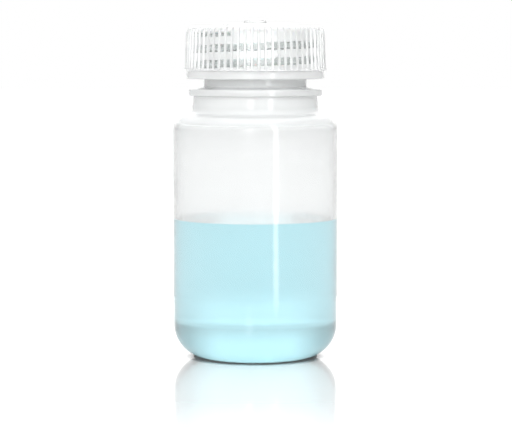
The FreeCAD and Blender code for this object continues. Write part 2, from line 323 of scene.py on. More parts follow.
class Space(Enum):
    """The coordinates that a pattern follows, by the Texture Coordinate node's names."""

    PIECE = "Object"
    DIRECTION = "Generated"


class NodeBench:
    """A node tree, with short ways to add and join nodes."""

    def __init__(self, tree: bpy.types.NodeTree) -> None:
        """Work on a tree's nodes and links."""
        self.nodes = tree.nodes
        self.links = tree.links

    def add(self, kind: str, **settings: object) -> bpy.types.Node:
        """Add a node and set its properties.

        Args:
            kind: the node's type.
            settings: its properties' values, by name.

        Returns:
            The node.
        """
        node = self.nodes.new(kind)
        for setting, value in settings.items():
            setattr(node, setting, value)
        return node

    def feed(self, target: bpy.types.NodeSocket, value: object) -> None:
        """Link a socket to another's result, or set it to a number or colour.

        Args:
            target: the socket that takes the value.
            value: another node's socket, a number, a vector or a colour.
        """
        if isinstance(value, bpy.types.NodeSocket):
            self.links.new(value, target)
        else:
            target.default_value = value

    def place(self, space: Space) -> bpy.types.NodeSocket:
        """Where each point lies, in the chosen coordinates."""
        return self.add("ShaderNodeTexCoord").outputs[space.value]

    def split(self, space: Space) -> bpy.types.NodeOutputs:
        """Where each point lies, as three numbers.

        Args:
            space: the coordinates.

        Returns:
            The sockets X, Y and Z.
        """
        parts = self.add("ShaderNodeSeparateXYZ")
        self.feed(parts.inputs["Vector"], self.place(space))
        return parts.outputs

    def ranged(
        self,
        value: bpy.types.NodeSocket,
        source: tuple[float, float],
        target: tuple[float, float] = (0.0, 1.0),
    ) -> bpy.types.NodeSocket:
        """Carry a value from one range to another, straight and held at the ends.

        Args:
            value: the value's socket.
            source: the range that it runs over.
            target: the range that it is spread to.

        Returns:
            The new value's socket.
        """
        spread = self.add("ShaderNodeMapRange")
        for label, limit in zip(("From Min", "From Max", "To Min", "To Max"), source + target):
            spread.inputs[label].default_value = limit
        self.feed(spread.inputs["Value"], value)
        return spread.outputs["Result"]

    def blend(self, kind: Blend, share: object, first: object, second: object) -> bpy.types.NodeSocket:
        """Mix two numbers or colours.

        Args:
            kind: what is mixed.
            share: the second one's share, as a socket or number.
            first: the first, as a socket, number or colour.
            second: the second, likewise.

        Returns:
            The mix's socket.
        """
        name, start, end, result = kind.value
        mix = self.add("ShaderNodeMix", data_type=name)
        for number, value in ((0, share), (start, first), (end, second)):
            self.feed(mix.inputs[number], value)
        return mix.outputs[result]

    def ramp(
        self, value: bpy.types.NodeSocket, stops: tuple[tuple[float, Colour], ...]
    ) -> bpy.types.NodeSocket:
        """Turn a value into a colour, straight from stop to stop and held past the ends.

        Args:
            value: the value's socket.
            stops: pairs of a value from 0 to 1, upwards, and the colour there.

        Returns:
            The colour's socket.
        """
        node = self.add("ShaderNodeValToRGB")
        points = node.color_ramp.elements
        while len(points) < len(stops):
            points.new(1.0)
        for point, (place, colour) in zip(points, stops):
            point.position = place
            point.color = colour
        self.feed(node.inputs["Fac"], value)
        return node.outputs["Color"]

    def stepped(self, length: bpy.types.NodeSocket, stops: Stops) -> bpy.types.NodeSocket:
        """A value set by a length, straight from stop to stop.

        Args:
            length: the socket of a length in metres.
            stops: pairs of a length in millimetres, upwards, and the value there.

        Returns:
            The value's socket.
        """
        low, high = stops[0][0], stops[-1][0]
        share = self.ranged(length, (low * MM, high * MM))
        greys = (((place - low) / (high - low), grey(value)) for place, value in stops)
        return self.ramp(share, tuple(greys))

    def by_height(self, stops: Stops) -> bpy.types.NodeSocket:
        """A value set by the height on a piece."""
        return self.stepped(self.split(Space.PIECE)["Z"], stops)

    def by_reach(self, stops: Stops) -> bpy.types.NodeSocket:
        """A value set by the distance from a piece's origin.

        Args:
            stops: pairs of a distance in millimetres, outwards, and the value there.

        Returns:
            The value's socket.
        """
        length = self.add("ShaderNodeVectorMath", operation="LENGTH")
        self.feed(length.inputs[0], self.place(Space.PIECE))
        return self.stepped(length.outputs["Value"], stops)


class FinishBench(NodeBench):
    """A material's node tree, with the nodes of a textured finish."""

    NOISE_RANGE = (0.3, 0.7)
    NOISE_DETAIL = 3.0

    def __init__(self, name: str) -> None:
        """Start a material with a Principled shader.

        Args:
            name: the material's name.
        """
        self.material = bpy.data.materials.new(name)
        self.material.use_nodes = True
        super().__init__(self.material.node_tree)
        self.shader = self.nodes["Principled BSDF"]
        self.output = self.nodes["Material Output"]

    def shade(self, **values: object) -> None:
        """Set or link the shader's sockets.

        Args:
            values: what each takes, by its name with _ for a space.
        """
        for name, value in values.items():
            self.feed(self.shader.inputs[name.replace("_", " ")], value)

    def noise(self, cell: float, stretch: Vector = (1.0, 1.0, 1.0)) -> bpy.types.NodeSocket:
        """Noise on the piece's own coordinates.

        Args:
            cell: size of the noise's cells, in millimetres.
            stretch: factor of each axis, below 1 for cells drawn out along it.

        Returns:
            The noise's value socket.
        """
        mapping = self.add("ShaderNodeMapping")
        self.feed(mapping.inputs["Scale"], stretch)
        self.feed(mapping.inputs["Vector"], self.place(Space.PIECE))
        cells = self.add("ShaderNodeTexNoise")
        self.feed(cells.inputs["Scale"], 1.0 / (cell * MM))
        self.feed(cells.inputs["Detail"], self.NOISE_DETAIL)
        self.feed(cells.inputs["Vector"], mapping.outputs["Vector"])
        return cells.outputs["Fac"]

    def bump(self, value: bpy.types.NodeSocket, depth: float) -> None:
        """Raise the surface by a value.

        Args:
            value: the value's socket.
            depth: how far a value of 1 raises it, in millimetres.
        """
        relief = self.add("ShaderNodeBump")
        self.feed(relief.inputs["Distance"], depth * MM)
        self.feed(relief.inputs["Strength"], 1.0)
        self.feed(relief.inputs["Height"], value)
        self.shade(Normal=relief.outputs["Normal"])

    def tint(self, value: bpy.types.NodeSocket, dark: Vector, light: Vector) -> None:
        """Let the colour wander between two close tones."""
        self.shade(Base_Color=self.blend(Blend.COLOUR, value, (*dark, 1.0), (*light, 1.0)))


@dataclass(frozen=True)
class Finish:
    """A finish, which each kind makes in its own way."""

    name: str

    def material(self) -> bpy.types.Material:
        """Make the material."""
        raise NotImplementedError


@dataclass(frozen=True)
class TranslucentPlastic(Finish):
    """Natural translucent moulding: hazy, softly glossy, with fine moulding grain.

    Its clearness is the share of light that passes, by height. The rest is milky.
    """

    light: Vector
    dark: Vector
    clearness: Stops
    roughness: float
    grain: Grain
    refraction: float = 1.45
    tone_cell: float = 9.0
    tone_stretch: Vector = (1.0, 1.0, 0.4)
    gloss_cell: float = 4.0
    gloss_spread: float = 0.12

    def material(self) -> bpy.types.Material:
        """Make the material, whose tone, gloss and relief wander.

        Returns:
            The material.
        """
        bench = FinishBench(self.name)
        cell, depth = self.grain.value
        low, high = (self.roughness * (1.0 + side * self.gloss_spread) for side in (-1.0, 1.0))
        gloss = bench.ranged(bench.noise(self.gloss_cell), bench.NOISE_RANGE, (low, high))
        bench.tint(bench.noise(self.tone_cell, self.tone_stretch), self.dark, self.light)
        bench.bump(bench.noise(cell), depth)
        bench.shade(
            Roughness=gloss,
            Transmission_Weight=bench.by_height(self.clearness),
            IOR=self.refraction,
        )
        return bench.material


@dataclass(frozen=True)
class ClearLiquid(Finish):
    """Clear tinted liquid that takes up light along its depth."""

    colour: Vector
    depth_colour: Vector
    depth_strength: float
    refraction: float = 1.333

    def material(self) -> bpy.types.Material:
        """Make the material.

        Returns:
            A smooth transmissive shader over a plain absorbing volume.
        """
        bench = FinishBench(self.name)
        bench.shade(
            Base_Color=(*self.colour, 1.0), Transmission_Weight=1.0, IOR=self.refraction, Roughness=0.0
        )
        depth = bench.add("ShaderNodeVolumeAbsorption")
        bench.feed(depth.inputs["Color"], (*self.depth_colour, 1.0))
        bench.feed(depth.inputs["Density"], self.depth_strength)
        bench.feed(bench.output.inputs["Volume"], depth.outputs["Volume"])
        return bench.material


@dataclass(frozen=True)
class Foam(Finish):
    """Closed-cell foam of the liner: matt white with fine pores."""

    light: Vector
    dark: Vector
    roughness: float = 0.75
    scatter: float = 0.3
    scatter_depth: float = 1.0

    def material(self) -> bpy.types.Material:
        """Make the material: matt, with pores in its tone and relief.

        Returns:
            The material.
        """
        bench = FinishBench(self.name)
        cell, depth = Grain.FOAM.value
        pores = bench.noise(cell)
        bench.tint(pores, self.dark, self.light)
        bench.bump(pores, depth)
        bench.shade(
            Roughness=self.roughness,
            Subsurface_Weight=self.scatter,
            Subsurface_Scale=self.scatter_depth * MM,
        )
        return bench.material


def coat(piece: bpy.types.Object, material: bpy.types.Material) -> None:
    """Give a piece its only material."""
    piece.data.materials.clear()
    piece.data.materials.append(material)


def face_middles(piece: bpy.types.Object) -> np.ndarray:
    """The middles of a piece's faces.

    Args:
        piece: the piece's object.

    Returns:
        Three rows, of X, Y and Z in millimetres.
    """
    middles = np.empty(3 * len(piece.data.polygons))
    piece.data.polygons.foreach_get("center", middles)
    return (middles.reshape(-1, 3) / MM).T


def coat_faces(piece: bpy.types.Object, material: bpy.types.Material, chosen: np.ndarray) -> None:
    """Give some of a piece's faces a second material.

    Args:
        piece: the piece, which already has its first material.
        material: the material of those faces.
        chosen: whether each face takes it.
    """
    piece.data.materials.append(material)
    piece.data.polygons.foreach_set("material_index", chosen.astype(np.int32))
    piece.data.update()


# ------------------------------------------------------------------ sub-assemblies
@dataclass
class SubAssembly:
    """A sub-assembly of one piece, with one finish unless it dresses itself otherwise."""

    finish: Finish

    def build(self) -> bpy.types.Object:
        """Make the piece's mesh."""
        raise NotImplementedError

    def dress(self, piece: bpy.types.Object) -> None:
        """Give the piece its finish."""
        coat(piece, self.finish.material())


@dataclass
class BottleBody(SubAssembly):
    """The blow-moulded bottle: pushed-up base, barrel, shoulder, collar, flange, neck.

    The neck carries a right-hand thread. Two fine parting lines run up the sides.
    """

    barrel_radius: float
    lip_top: float
    wall: float = 1.2
    base_corner: float = 10.4
    foot_width: float = 1.6
    foot_round: float = 0.5
    foot_dip: float = 0.175
    base_rise: float = 1.6
    barrel_to_lip: float = 29.8
    shoulder_round: float = 5.3
    shoulder_slope: float = math.radians(15.0)
    shoulder_flat: float = 0.5
    collar_round: float = 2.0
    collar_height: float = 3.47
    collar_draft: float = 0.3
    flange_reach: float = 1.2
    flange_thick: float = 2.15
    flange_edge: float = 0.4
    flange_slope: float = 0.6
    neck_step: float = 1.9
    groove_depth: float = 1.74
    groove_height: float = 4.0
    groove_round: float = 0.55
    groove_ramp: float = 1.3
    neck_wall: float = 1.56
    throat_rise: float = 3.2
    throat_top: float = 0.8
    throat_drop: float = 0.6
    throat_flare: float = 0.7
    throat_round: float = 2.0
    lip_outer_round: float = 0.8
    lip_inner_round: float = 0.5
    lip_fade: float = 0.16
    thread_pitch: float = 4.72
    thread_depth: float = 1.7
    thread_crest: float = 1.4
    thread_spread: float = 0.5
    thread_lead_in: float = 1.2
    thread_lead_out: float = 1.64
    thread_extra: float = 0.09
    columns: int = 304
    parting_height: float = 0.05
    parting_width: float = 0.35
    parting_fade: float = 2.0
    parting_margin: float = 1.0
    unevenness: float = 0.035
    uneven_from: float = 2.0
    uneven_foot_fade: float = 12.0
    uneven_top_fade: float = 8.0
    waves: tuple[tuple[float, float, float, float], ...] = (
        (1.0, 2.0, 0.08, 0.7),
        (0.6, 3.0, -0.13, 2.1),
        (0.4, 5.0, 0.21, 4.0),
    )

    def __post_init__(self) -> None:
        """Work out the sizes that other pieces share."""
        rounds = self.shoulder_round + self.collar_round
        self.lean = math.sin(self.shoulder_slope)
        self.level = math.cos(self.shoulder_slope)
        self.barrel_top = self.lip_top - self.barrel_to_lip
        self.inner_radius = self.barrel_radius - self.wall
        self.foot_outer = self.barrel_radius - self.base_corner
        self.foot_inner = self.foot_outer - self.foot_width
        self.dome = (self.foot_inner**2 + self.base_rise**2) / (2 * self.base_rise)
        self.collar_radius = (
            self.barrel_radius - rounds * (1 - self.lean) - self.shoulder_flat * self.level
        )
        self.collar_foot = self.barrel_top + rounds * self.level + self.shoulder_flat * self.lean
        self.flange_bottom = self.collar_foot + self.collar_height
        self.flange_top = self.flange_bottom + self.flange_thick
        self.root_radius = self.collar_radius - self.neck_step
        self.groove_radius = self.root_radius - self.groove_depth
        self.bore_radius = self.groove_radius - self.neck_wall
        self.groove_foot = self.flange_top + self.flange_slope
        self.groove_top = self.groove_foot + self.groove_height
        self.thread_foot = self.groove_top + self.groove_ramp
        self.thread_start = self.thread_foot + self.thread_lead_in

    def thread(self) -> Thread:
        """The neck's thread, which starts on the -X side with its run-out before that.

        Returns:
            The thread, with as many turns as the neck's straight part has room for.
        """
        zone = self.lip_top - self.thread_start - self.thread_lead_out
        turns = zone / self.thread_pitch + 2 * self.thread_extra
        return Thread(
            pitch=self.thread_pitch,
            depth=self.thread_depth,
            crest=self.thread_crest,
            spread=self.thread_spread,
            first_height=self.thread_start - self.thread_extra * self.thread_pitch,
            first_angle=math.pi - self.thread_extra * TURN,
            turns=turns,
        )

    def shoulder_end(self, depth: float) -> tuple[float, float]:
        """Where the shoulder's round meets its slope.

        Args:
            depth: how deep below the outer surface.

        Returns:
            The radius and height.
        """
        reach = self.shoulder_round - depth
        return (
            self.barrel_radius - self.shoulder_round + reach * self.lean,
            self.barrel_top + reach * self.level,
        )

    def collar_start(self, depth: float) -> tuple[float, float]:
        """Where the shoulder's slope meets the collar's hollow round.

        Args:
            depth: how deep below the outer surface.

        Returns:
            The radius and height.
        """
        reach = self.collar_round + depth
        return (
            self.collar_radius + self.collar_round - reach * self.lean,
            self.collar_foot - reach * self.level,
        )

    def outside(self) -> Outline:
        """Draw from the base's middle up the outside to the lip.

        Returns:
            The outer outline.
        """
        edge = self.flange_edge
        flange = self.collar_radius + self.flange_reach
        collar_top = self.collar_radius - self.collar_draft
        drawn = Outline().start(0.0, self.base_rise)
        drawn.arc(self.foot_inner - self.foot_round, self.foot_dip, -self.dome, 9)
        drawn.line(self.foot_inner, 0.0, 2)
        drawn.line(self.foot_outer, 0.0, 3)
        drawn.arc(self.barrel_radius, self.base_corner, self.base_corner, 22)
        drawn.line(self.barrel_radius, self.barrel_top, 26)
        drawn.arc(*self.shoulder_end(0.0), self.shoulder_round, 14)
        drawn.line(*self.collar_start(0.0), 2)
        drawn.arc(self.collar_radius, self.collar_foot, -self.collar_round, 9)
        drawn.line(collar_top, self.flange_bottom - edge / 2, 4)
        drawn.arc(collar_top + edge / 2, self.flange_bottom, -edge / 2, 4)
        drawn.line(flange - edge, self.flange_bottom, 2)
        drawn.arc(flange, self.flange_bottom + edge, edge, 6)
        drawn.line(flange, self.flange_top - edge, 3)
        drawn.arc(flange - edge, self.flange_top, edge, 6)
        drawn.line(self.groove_radius + self.groove_round, self.groove_foot, 5)
        drawn.arc(self.groove_radius, self.groove_foot + self.groove_round, -self.groove_round, 6)
        drawn.line(self.groove_radius, self.groove_top, 4)
        drawn.line(self.root_radius, self.thread_foot, 4)
        drawn.line(self.root_radius, self.lip_top - self.lip_outer_round, 88)
        drawn.arc(self.root_radius - self.lip_outer_round, self.lip_top, self.lip_outer_round, 8)
        return drawn

    def inside(self, drawn: Outline) -> Outline:
        """Draw on from the lip down the inside to the middle of the base.

        Args:
            drawn: the outer outline.

        Returns:
            The whole outline.
        """
        collar = self.collar_radius - self.wall
        flare = self.bore_radius + self.throat_flare
        drawn.line(self.bore_radius + self.lip_inner_round, self.lip_top, 3)
        drawn.arc(self.bore_radius, self.lip_top - self.lip_inner_round, self.lip_inner_round, 6)
        drawn.line(self.bore_radius, self.flange_top + self.throat_top, 5)
        drawn.arc(flare, self.flange_top - self.throat_drop, -self.throat_round, 4)
        drawn.line(collar - self.collar_draft, self.flange_top - self.throat_rise, 4)
        drawn.line(collar, self.collar_foot, 3)
        drawn.arc(*self.collar_start(self.wall), self.collar_round + self.wall, 8)
        drawn.line(*self.shoulder_end(self.wall), 2)
        drawn.arc(self.inner_radius, self.barrel_top, -(self.shoulder_round - self.wall), 10)
        drawn.line(self.inner_radius, self.base_corner, 22)
        drawn.arc(self.foot_outer, self.wall, -(self.base_corner - self.wall), 16)
        drawn.line(self.foot_inner, self.wall, 2)
        drawn.arc(0.0, self.base_rise + self.wall, self.dome, 9)
        return drawn

    def relief(self, outline: Outline, outer_count: int, angles: np.ndarray) -> np.ndarray:
        """What stands out of the turned shape: thread, parting lines and unevenness.

        The parting line is a bell curve of the distance from the XZ plane. The
        unevenness is the sum of a few waves, share * sin(rounds * angle + rise * height
        + phase), fading at the foot and under the shoulder.

        Args:
            outline: the whole outline.
            outer_count: how many of its points are on the outside.
            angles: the columns' angles.

        Returns:
            The relief for each outline point and column.
        """
        radii, heights = outline.points()
        outer = np.arange(len(radii)) < outer_count
        straight = outer & (np.abs(radii - self.root_radius) < TINY) & (heights >= self.thread_foot)
        below_lip = self.lip_top - self.lip_fade - heights[straight]
        lip = smooth_step(below_lip / self.lip_outer_round)
        relief = np.zeros((len(radii), len(angles)))
        relief[straight] = self.thread().relief(angles, heights[straight]) * lip[:, None]

        off_plane = np.abs(radii[:, None] * np.sin(angles)[None, :])
        parting = self.parting_height * np.exp(-((off_plane / self.parting_width) ** 2))
        sides = outer & (radii > self.foot_outer + self.parting_margin)
        sides = sides * smooth_step((self.flange_bottom - heights) / self.parting_fade)

        waves = np.ones_like(relief)
        for share, rounds, rise, phase in self.waves:
            waves += share * np.sin(rounds * angles[None, :] + rise * heights[:, None] + phase)
        barrel = smooth_step((heights - self.uneven_from) / self.uneven_foot_fade)
        barrel *= smooth_step((self.barrel_top - heights) / self.uneven_top_fade)
        barrel *= outer & (radii > self.collar_radius)
        return relief + parting * sides[:, None] - self.unevenness / 2 * waves * barrel[:, None]

    def build(self) -> bpy.types.Object:
        """Make the bottle's mesh.

        Returns:
            The bottle's object.
        """
        outline = self.outside()
        outer_count = len(outline.radii)
        self.inside(outline)
        angles = even_angles(self.columns)
        return turned("bottle_moulding", outline, angles, self.relief(outline, outer_count, angles))


@dataclass
class ScrewCap(SubAssembly):
    """The cap: even grip ribs over a bead and a plain skirt, a raised middle, a thread."""

    window: Finish
    bottle: BottleBody
    bottom: float
    ceiling: float
    boss_top: float
    radial_gap: float = 0.4
    flank_gap: float = 0.12
    side_wall: float = 1.2
    top_wall: float = 1.2
    draft: float = 0.45
    corner: float = 2.0
    edge: float = 0.25
    skirt_wall: float = 1.05
    skirt_height: float = 2.5
    bead_reach: float = 0.65
    bead_height: float = 0.45
    rib_count: int = 64
    rib_height: float = 0.5
    liner_overlap: float = 0.2
    liner_gap: float = 0.3
    seat_round: float = 0.3
    hollow_margin: float = 1.0
    hollow_round: float = 3.0
    bead_lead: float = 0.35
    bead_edge: float = 0.2
    bead_drop: float = 0.02
    bead_under_round: float = 0.55
    bead_round: float = 0.24
    bead_over_round: float = 0.7
    plateau_margin: float = 8.7
    plateau_rise: float = 0.9
    plateau_ramp: float = 1.3
    plateau_round: float = 1.6
    plateau_edge: float = 0.3
    plateau_crown: float = 0.05
    boss_radius: float = 3.5
    boss_round: float = 0.6
    boss_fillet: float = 0.3
    boss_dish: float = 0.1
    crest: float = 1.3
    thread_less: float = 0.25
    rib_start: float = 0.27
    rib_edge: float = 0.12
    rib_rise: float = 0.1
    rib_fade: float = 1.2
    rib_inner_fade: float = 1.0
    rib_top_share: float = 0.4
    window_half: float = 0.27
    window_drop: float = 1.8
    window_margin: float = 0.5
    inner_margin: float = 0.2
    window_extra: float = 0.35

    def __post_init__(self) -> None:
        """Work out the radii and heights from the bottle's."""
        bottle = self.bottle
        self.rim = self.ceiling + self.top_wall
        self.bore = bottle.root_radius + bottle.thread_depth + self.radial_gap
        self.top_radius = self.bore + self.side_wall
        self.foot_radius = self.top_radius + self.draft
        self.skirt_bore = self.foot_radius - self.skirt_wall
        self.rib_foot = self.bottom + self.skirt_height
        self.seat = bottle.root_radius + self.liner_overlap + self.liner_gap
        self.plateau = self.rim + self.plateau_rise
        self.plateau_radius = self.top_radius - self.plateau_margin
        edge = self.rib_start + self.rib_edge * np.array([0.0, 0.5, 1.0])
        self.rib_steps = np.concatenate([[0.0], edge, [0.5], 1.0 - edge[::-1]])

    def thread(self) -> Thread:
        """The cap's thread, which lies below the bottle's with the flank gap between.

        Returns:
            The thread, as a ridge over the cap's bore.
        """
        mate = self.bottle.thread()
        bottle = self.bottle
        slope = bottle.thread_spread / bottle.thread_depth
        below = (
            (mate.crest + self.crest) / 2
            + slope * (bottle.thread_depth - self.radial_gap)
            + self.flank_gap
        )
        start = bottle.thread_start + mate.pitch / 2 - below
        return Thread(
            pitch=mate.pitch,
            depth=mate.depth,
            crest=self.crest,
            spread=mate.spread,
            first_height=start,
            first_angle=0.0,
            turns=mate.turns - 2 * bottle.thread_extra - self.thread_less,
        )

    def inside(self) -> Outline:
        """Draw from the ceiling's middle down the inside to the lower edge.

        Returns:
            The inner outline.
        """
        deep = self.plateau - self.top_wall
        lip = self.bottle.lip_top
        drawn = Outline().start(0.0, deep)
        drawn.line(self.plateau_radius - self.hollow_margin, deep, 6)
        drawn.arc(self.plateau_radius + self.plateau_ramp, self.ceiling, -self.hollow_round, 6)
        drawn.line(self.seat - self.seat_round, self.ceiling, 4)
        drawn.arc(self.seat, self.ceiling - self.seat_round, -self.seat_round, 4)
        drawn.line(self.seat, lip + self.flank_gap, 2)
        drawn.line(self.bore, lip - self.flank_gap, 3)
        drawn.line(self.bore, self.rib_foot + self.bead_height, 50)
        drawn.line(self.skirt_bore, self.rib_foot, 3)
        drawn.line(self.skirt_bore, self.bottom + self.edge, 3)
        drawn.arc(self.skirt_bore + self.edge, self.bottom, self.edge, 4)
        return drawn

    def outside(self, drawn: Outline) -> Outline:
        """Draw on from the lower edge up the outside to the middle of the top.

        Args:
            drawn: the inner outline.

        Returns:
            The whole outline.
        """
        bead = self.foot_radius + self.bead_reach - self.bead_edge
        bead_top = self.rib_foot + self.bead_height
        ramp = self.plateau_radius + self.plateau_ramp
        halfway = (ramp - self.plateau_ramp / 2, self.rim + self.plateau_rise / 2)
        drawn.line(self.foot_radius - self.edge, self.bottom, 2)
        drawn.arc(self.foot_radius, self.bottom + self.edge, self.edge, 4)
        drawn.line(self.foot_radius, self.rib_foot - self.bead_lead, 4)
        drawn.arc(bead, self.rib_foot - self.bead_drop, -self.bead_under_round, 5)
        drawn.arc(bead, bead_top, self.bead_round, 6)
        drawn.arc(self.foot_radius, bead_top + self.bead_height, -self.bead_over_round, 4)
        drawn.line(self.top_radius, self.rim - self.corner, 35)
        drawn.arc(self.top_radius - self.corner, self.rim, self.corner, 12)
        drawn.line(ramp + self.plateau_edge, self.rim, 5)
        drawn.arc(*halfway, -self.plateau_round, 4)
        drawn.arc(self.plateau_radius - self.plateau_edge, self.plateau, self.plateau_round, 4)
        foot = self.plateau + self.plateau_crown
        drawn.line(self.boss_radius + self.boss_fillet, foot, 6)
        drawn.arc(self.boss_radius, foot + self.boss_fillet, -self.boss_fillet, 4)
        drawn.line(self.boss_radius, self.boss_top - self.boss_round, 2)
        drawn.arc(self.boss_radius - self.boss_round, self.boss_top, self.boss_round, 6)
        drawn.line(0.0, self.boss_top - self.boss_dish, 3)
        return drawn

    def relief(self, outline: Outline, inner_count: int, angles: np.ndarray) -> np.ndarray:
        """What stands out of the turned shape: the inner thread and the outer ribs.

        A rib's height over its share of the circle is a soft step up to its flat crest
        and down again. It holds from the bead to the rim's round and fades over it.

        Args:
            outline: the whole outline.
            inner_count: how many of its points are on the inside.
            angles: the columns' angles.

        Returns:
            The relief for each outline point and column.
        """
        radii, heights = outline.points()
        inner = np.arange(len(radii)) < inner_count
        relief = np.zeros((len(radii), len(angles)))
        bore = inner & (np.abs(radii - self.bore) < TINY)
        relief[bore] = self.thread().relief(angles, heights[bore])
        share = np.mod(angles * self.rib_count / TURN, 1.0)
        rib = smooth_step((0.5 - np.abs(share - 0.5) - self.rib_start) / self.rib_edge)
        bead_middle = self.rib_foot + self.bead_height / 2
        start = smooth_step((heights - bead_middle) / self.bead_height)
        over = smooth_step((self.rim + self.rib_rise - heights) / self.rib_fade)
        end = smooth_step((radii - self.top_radius + self.corner) / self.rib_inner_fade)
        rows = np.where(inner, 0.0, start * np.maximum(over, self.rib_top_share) * end)
        return relief + self.rib_height * rows[:, None] * rib[None, :]

    def build(self) -> bpy.types.Object:
        """Make the cap's mesh, with its columns set round each rib's edges.

        Returns:
            The cap's object.
        """
        outline = self.inside()
        inner_count = len(outline.radii)
        self.outside(outline)
        ribs = np.arange(self.rib_count)[:, None] + self.rib_steps[None, :]
        angles = (ribs * TURN / self.rib_count).ravel()
        return turned("cap_moulding", outline, angles, self.relief(outline, inner_count, angles))

    def clear_faces(self, piece: bpy.types.Object) -> np.ndarray:
        """The clear faces: all inside, and between the ribs where the wall is thin.

        The wall is thin over the neck's ridge, between the turns of the cap's own.

        Args:
            piece: the cap's object.

        Returns:
            Whether each face is one of them.
        """
        across, along, up = face_middles(piece)
        reach = np.hypot(across, along)
        around = np.arctan2(along, across)
        margin = self.window_margin
        share = np.mod(around * self.rib_count / TURN, 1.0)
        between = 0.5 - np.abs(share - 0.5) < self.window_half
        between &= (reach > self.bore + margin) & (up < self.rim - self.window_drop)
        between &= up > self.rib_foot + 2 * self.bead_height
        between &= self.bottle.thread().covers(around, up, self.window_extra)
        inner = (reach < self.bore + self.inner_margin) & (up > self.rib_foot)
        return between | (inner & (up < self.ceiling - margin))

    def dress(self, piece: bpy.types.Object) -> None:
        """Give the cap its milky finish, and the clear one where its wall is thin."""
        super().dress(piece)
        coat_faces(piece, self.window.material(), self.clear_faces(piece))


@dataclass
class Liner(SubAssembly):
    """The foam disc that seals the lip, with softened edges."""

    radius: float
    bottom: float
    top: float
    columns: int = 160
    edge: float = 0.15

    def build(self) -> bpy.types.Object:
        """Make the liner's mesh.

        Returns:
            The liner's object.
        """
        drawn = Outline().start(0.0, self.bottom)
        drawn.line(self.radius - self.edge, self.bottom, 8)
        drawn.arc(self.radius, self.bottom + self.edge, self.edge, 4)
        drawn.line(self.radius, self.top - self.edge, 2)
        drawn.arc(self.radius - self.edge, self.top, self.edge, 4)
        drawn.line(0.0, self.top, 8)
        return turned("liner_disc", drawn, even_angles(self.columns))


@dataclass
class Liquid(SubAssembly):
    """The contents: they wet the bottle's inside, and their surface creeps up its wall."""

    bottle: BottleBody
    level: float
    overlap: float = 0.08
    creep: float = 0.1
    creep_width: float = 0.8
    creep_start: float = 0.05
    creep_end: float = 4.0
    creep_margin: float = 2.0
    columns: int = 240

    def build(self) -> bpy.types.Object:
        """Make the liquid's mesh.

        Its sides reach a little into the bottle's wall, so that no air shows between.
        The surface rises towards the wall as creep * exp(-distance / creep_width).

        Returns:
            The liquid's object.
        """
        bottle = self.bottle
        sides = bottle.inner_radius + self.overlap
        floor = bottle.wall - self.overlap
        drawn = Outline().start(0.0, bottle.base_rise + floor)
        drawn.arc(bottle.foot_inner, floor, -bottle.dome, 14)
        drawn.line(bottle.foot_outer, floor, 2)
        drawn.arc(sides, bottle.base_corner, bottle.base_corner - floor, 22)
        drawn.line(sides, self.level + self.creep, 24)
        near = np.linspace(self.creep_start, self.creep_end, 24)
        far = np.linspace(self.creep_end + self.creep_margin, sides, 8)
        off_wall = np.concatenate([near, far])
        drawn.radii += list(sides - off_wall)
        drawn.heights += list(self.level + self.creep * np.exp(-off_wall / self.creep_width))
        return turned("liquid_fill", drawn, even_angles(self.columns))


# ------------------------------------------------------------------ studio
class Ray(Enum):
    """The kinds of ray that a light may be hidden from, by its setting."""

    CAMERA = "visible_camera"
    DIFFUSE = "visible_diffuse"
    GLOSSY = "visible_glossy"
    TRANSMISSION = "visible_transmission"


@dataclass(frozen=True)
class Lamp:
    """A rectangular area light that faces a point, in millimetres and watts.

    The camera never sees it, and no more do the rays that it is hidden from.
    """

    name: str
    place: Vector
    target: Vector
    size: tuple[float, float]
    power: float
    hidden_from: tuple[Ray, ...] = ()

    def hang(self, lit: tuple[bpy.types.Object, ...] = ()) -> None:
        """Add the light.

        Args:
            lit: the only objects that it shines on, or none for all.
        """
        data = bpy.data.lights.new(self.name, "AREA")
        data.shape = "RECTANGLE"
        data.size, data.size_y = (side * MM for side in self.size)
        data.energy = self.power
        lamp = bpy.data.objects.new(self.name, data)
        lamp.location = [value * MM for value in self.place]
        across, along, up = np.subtract(self.target, self.place)
        heading = math.atan2(across, -along)
        drop = math.atan2(-up, math.hypot(across, along))
        lamp.rotation_euler = (math.pi / 2 - drop, 0.0, math.pi + heading)
        for ray in (Ray.CAMERA, *self.hidden_from):
            setattr(lamp, ray.value, False)
        if lit:
            receivers = bpy.data.collections.new(f"{self.name}_lit")
            for piece in lit:
                receivers.objects.link(piece)
            lamp.light_linking.receiver_collection = receivers
        bpy.context.scene.collection.objects.link(lamp)


